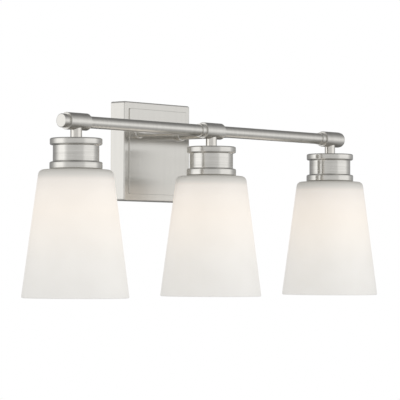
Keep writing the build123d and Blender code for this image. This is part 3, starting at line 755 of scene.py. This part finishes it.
for lamp in LAMPS:
    body = "bulb_" + lamp
    centre = middle_of("bulb_cap_" + lamp)
    cap_low, cap_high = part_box("bulb_cap_" + lamp)
    tip_top = cap_high[2]
    cap_end = cap_low[2]
    insulator_top = tip_top - tip_height
    cap_top = insulator_top - insulator_height

    tip = [(0.0, tip_top)]
    tip += arc((tip_radius - tip_round, tip_top - tip_round), tip_round, 90, 0, round_steps)
    tip += [(tip_radius, insulator_top), (0.0, insulator_top)]
    insulator = [
        (0.0, insulator_top), (insulator_top_radius, insulator_top),
        (insulator_waist_radius, cap_top + insulator_foot), (insulator_radius, cap_top), (0.0, cap_top)]
    cap = [(0.0, cap_top), (insulator_radius, cap_top)]
    cap += arc((cap_radius - cap_round, cap_top - cap_round), cap_round, 90, 0, round_steps)
    cap += [(cap_radius, cap_end + bead_height + bead_radius)]
    cap += arc((cap_radius, cap_end + bead_height), bead_radius, 60, -60, round_steps)
    cap += [(cap_radius, cap_end), (0.0, cap_end)]

    cap_mesh = turned("bulb_cap_rolled_" + lamp, cap, centre, cap_points)
    cap_piece = mesh_piece("bulb_cap_rolled_" + lamp, cap_mesh, cap_metal)
    belongs(cap_piece, body, "bulb_cap", "bulb_cap_" + lamp)
    tip_mesh = turned("bulb_tip_" + lamp, tip, centre, tip_points)
    tip_piece = mesh_piece("bulb_tip_" + lamp, tip_mesh, solder)
    belongs(tip_piece, body, "bulb_cap")
    insulator_mesh = turned("bulb_insulator_" + lamp, insulator, centre, insulator_points)
    insulator_piece = mesh_piece("bulb_insulator_" + lamp, insulator_mesh, black_glass)
    belongs(insulator_piece, body, "bulb_cap")
    thread_start = (centre[0], centre[1], cap_end + cap_thread_gap)
    cap_thread_mesh = grown("bulb_thread_" + lamp, thread_tree, [thread_start], {
        "Radius": cap_radius, "Ridge": cap_thread_ridge, "Pitch": bulb_pitch, "Turns": cap_thread_turns,
        "Facing": upright, "Finish": cap_metal})
    cap_thread = mesh_piece("bulb_thread_" + lamp, cap_thread_mesh, cap_metal)
    belongs(cap_thread, body, "bulb_cap")


# Camera of the photograph: left of the bar and a little under it, looking slightly upward through a
# long lens. Its place, turn and lens were fitted to the edges of bar, cups, plate and shades.
view_yaw = math.radians(49.401)
view_pitch = math.radians(1.553)
view_roll = math.radians(0.229)
camera_place = (-2.12431, -1.91424, -0.13637)
forward = Vector((
    math.sin(view_yaw) * math.cos(view_pitch),
    math.cos(view_yaw) * math.cos(view_pitch),
    math.sin(view_pitch)))
level_right = Vector((math.cos(view_yaw), -math.sin(view_yaw), 0.0))
level_up = level_right.cross(forward)
frame_right = level_right * math.cos(view_roll) + level_up * math.sin(view_roll)
frame_up = level_up * math.cos(view_roll) - level_right * math.sin(view_roll)
lens = bpy.data.cameras.new("photo_camera")
lens.sensor_width = 36.0
lens.lens = 204.21
lens.clip_end = 50.0
camera = bpy.data.objects.new("photo_camera", lens)
bpy.context.scene.collection.objects.link(camera)
camera_turn = Matrix((frame_right, frame_up, -forward)).transposed().to_4x4()
camera.matrix_world = Matrix.Translation(camera_place) @ camera_turn
bpy.context.scene.camera = camera


# Studio: plain white to the eye. Reflections see a softly lit room, bright on both sides of the camera,
# dimmer towards it, dark behind the light, darker overhead and grey below. Two soft boxes add a
# gentle direction to the light.
world = bpy.data.worlds.new("studio")
bpy.context.scene.world = world
world.use_nodes = True
tree = world.node_tree
tree.nodes.clear()
output = tree.nodes.new("ShaderNodeOutputWorld")
# Degrees round from the camera, positive to the picture's right, and the room's brightness there
bearings = [
    (-180, 0.32), (-140, 0.36), (-118, 0.52), (-102, 0.95), (-88, 1.34), (-60, 1.40), (-48, 1.00),
    (-38, 0.80), (0, 0.74), (36, 0.80), (48, 1.12), (85, 1.15), (98, 1.13), (104, 0.95), (110, 0.74),
    (122, 0.56), (134, 0.45), (180, 0.32)]
# Height on the unit sphere, and the room's brightness there
levels = [
    (-1.0, 0.52), (-0.42, 0.52), (-0.24, 0.76), (-0.06, 1.0), (0.14, 1.0), (0.35, 0.78), (0.52, 0.62),
    (0.70, 0.50), (1.0, 0.38)]
even_light = 0.93
way = add_node(tree, "ShaderNodeTexCoord").outputs["Generated"]
to_camera = add_node(tree, "ShaderNodeVectorMath", {"operation": "DOT_PRODUCT"}, {
    0: way, 1: (-math.sin(view_yaw), -math.cos(view_yaw), 0.0)}).outputs["Value"]
to_side = add_node(tree, "ShaderNodeVectorMath", {"operation": "DOT_PRODUCT"}, {
    0: way, 1: (math.cos(view_yaw), -math.sin(view_yaw), 0.0)}).outputs["Value"]
bearing = add_node(tree, "ShaderNodeMath", {"operation": "ARCTAN2"}, {0: to_side, 1: to_camera}).outputs[0]
round_room = add_node(tree, "ShaderNodeMapRange", None, {
    "Value": bearing, "From Min": -math.pi, "From Max": math.pi}).outputs[0]
walls = add_node(tree, "ShaderNodeValToRGB", {
    "stops": [((degrees + 180) / 360, (light, light, light, 1.0)) for degrees, light in bearings]}, {
    "Fac": round_room}).outputs["Color"]
up = add_node(tree, "ShaderNodeSeparateXYZ", None, {"Vector": way}).outputs["Z"]
height = add_node(tree, "ShaderNodeMapRange", None, {
    "Value": up, "From Min": -1.0, "From Max": 1.0}).outputs[0]
layers = add_node(tree, "ShaderNodeValToRGB", {
    "stops": [((z + 1) / 2, (light, light, light, 1.0)) for z, light in levels]}, {
    "Fac": height}).outputs["Color"]
room = add_node(tree, "ShaderNodeMath", times, {0: walls, 1: layers}).outputs[0]
plain = add_node(tree, "ShaderNodeMath", times, {0: layers, 1: even_light}).outputs[0]
rays = add_node(tree, "ShaderNodeLightPath")
seen = add_node(tree, "ShaderNodeMix", {"data_type": "FLOAT"}, {
    0: rays.outputs["Is Glossy Ray"], 2: plain, 3: room}).outputs[0]
clear = add_node(tree, "ShaderNodeMath", {"operation": "MAXIMUM"}, {
    0: rays.outputs["Is Camera Ray"], 1: rays.outputs["Is Transmission Ray"]}).outputs[0]
strength = add_node(tree, "ShaderNodeMix", {"data_type": "FLOAT"}, {0: clear, 2: seen, 3: 1.0}).outputs[0]
sky = add_node(tree, "ShaderNodeBackground", None, {"Color": (1, 1, 1, 1), "Strength": strength})
tree.links.new(sky.outputs[0], output.inputs["Surface"])

light_middle = Vector((0.0, -0.11, -0.06))
soft_boxes = [("soft_box_left", (-2.4, 0.9, 0.1), 5.0), ("soft_box_front", (0.0, -1.1, -0.35), 2.8)]
for name, place, energy in soft_boxes:
    box = bpy.data.lights.new(name, "AREA")
    box.shape = "SQUARE"
    box.size = 1.6
    box.energy = energy
    stand = bpy.data.objects.new(name, box)
    aim = light_middle - Vector(place)
    stand.matrix_world = Matrix.Translation(place) @ aim.to_track_quat("-Z", "Y").to_matrix().to_4x4()
    stand.visible_glossy = False
    stand.visible_camera = False
    bpy.context.scene.collection.objects.link(stand)

bpy.context.scene.view_settings.view_transform = "Standard"
